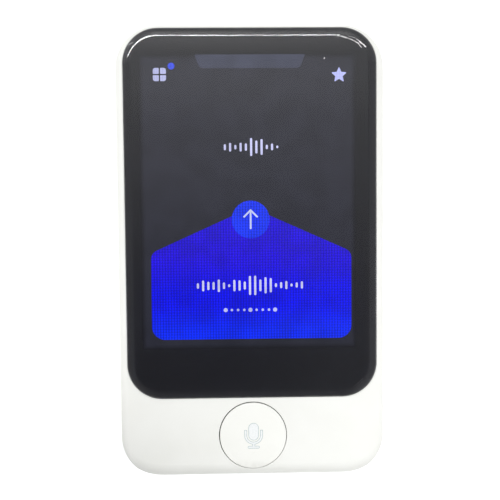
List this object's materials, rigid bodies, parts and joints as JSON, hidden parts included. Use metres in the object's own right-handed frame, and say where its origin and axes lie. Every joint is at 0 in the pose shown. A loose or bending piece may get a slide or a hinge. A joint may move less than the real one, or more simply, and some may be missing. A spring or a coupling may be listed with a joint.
{
  "type": "handheld translator",
  "caption": "Palm-sized touch-screen voice translator with a round talk button, side keys, card tray, strap hole, and its boards, battery and display inside.",
  "frame": {"origin": "middle of the back face, on which it lies", "axes": "+X to its right-hand side, +Y to its top end, +Z out of the screen"},
  "size_m": [0.0544, 0.0916, 0.0115],
  "materials": {
    "shell": "moulded white plastic, satin gloss",
    "key_plastic": "moulded white plastic, satin gloss",
    "cover_glass": "polished cover glass over a black printed border",
    "display": "liquid crystal panel",
    "steel": "stamped steel",
    "backlight": "clear light guide and white films in a thin tray",
    "screw_steel": "machined steel",
    "flat_cable": "amber polyimide film",
    "circuit_board": "green solder mask",
    "silicone": "translucent silicone",
    "black_rubber": "black foam and rubber",
    "black_plastic": "black moulded plastic",
    "connector_plastic": "ivory moulded plastic",
    "battery_foil": "laminated foil pouch",
    "tape": "double sided tape",
    "wire_sleeve": "soft insulation",
    "speaker_mesh": "fine woven mesh",
    "camera_trim": "turned and anodised",
    "camera_glass": "polished window",
    "led_phosphor": "phosphor coated chip",
    "clear_plastic": "clear light guide",
    "antenna_copper": "plated copper foil"
  },
  "bodies": {
    "casing": {"rear_cover": "shell", "front_housing": "shell", "cover_glass": "cover_glass", "glass_adhesive": "black_rubber", "display_panel": "display", "backlight_unit": "backlight", "display_flex": "flat_cable", "chassis_plate": "steel", "chassis_screws": "screw_steel", "button_gasket": "silicone", "button_dome": "steel", "button_board": "circuit_board", "button_board_screws": "screw_steel", "side_switches": "steel", "side_key_flexes": "flat_cable", "key_brackets": "steel", "main_board": "circuit_board", "main_board_screws": "screw_steel", "processor_shield": "steel", "radio_shield": "steel", "battery": "battery_foil", "battery_adhesive": "tape", "battery_lead": "wire_sleeve", "battery_connector": "connector_plastic", "link_flex": "flat_cable", "speaker_left": "black_plastic", "speaker_right": "black_plastic", "speaker_meshes": "speaker_mesh", "top_microphone": "steel", "bottom_microphone": "steel", "microphone_gaskets": "black_rubber", "usb_socket": "steel", "usb_tongue": "black_plastic", "card_socket": "steel", "camera_module": "black_plastic", "camera_window": "camera_glass", "camera_ring": "camera_trim", "flash_led": "led_phosphor", "flash_window": "clear_plastic", "cellular_antenna": "antenna_copper", "wifi_antenna": "antenna_copper"},
    "talk_button": {"talk_button": "key_plastic"},
    "power_key": {"power_key": "key_plastic", "power_plunger": "black_plastic"},
    "volume_up_key": {"volume_up_key": "key_plastic", "volume_up_plunger": "black_plastic"},
    "volume_down_key": {"volume_down_key": "key_plastic", "volume_down_plunger": "black_plastic"},
    "card_tray": {"card_tray": "shell"}
  },
  "joints": [
    {"name": "talk_button_press", "type": "slide", "parent": "casing", "child": "talk_button", "axis": [0, 0, -1], "range_m": [0, 0.00035], "stiffness_N_per_m": 1500, "deforming": ["button_gasket", "button_dome"]},
    {"name": "power_key_press", "type": "slide", "parent": "casing", "child": "power_key", "axis": [1, 0, 0], "range_m": [0, 0.00025], "stiffness_N_per_m": 1500},
    {"name": "volume_up_press", "type": "slide", "parent": "casing", "child": "volume_up_key", "axis": [-1, 0, 0], "range_m": [0, 0.00025], "stiffness_N_per_m": 1500},
    {"name": "volume_down_press", "type": "slide", "parent": "casing", "child": "volume_down_key", "axis": [-1, 0, 0], "range_m": [0, 0.00025], "stiffness_N_per_m": 1500},
    {"name": "card_tray_slide", "type": "slide", "parent": "casing", "child": "card_tray", "axis": [1, 0, 0], "range_m": [0, 0.018]}
  ]
}
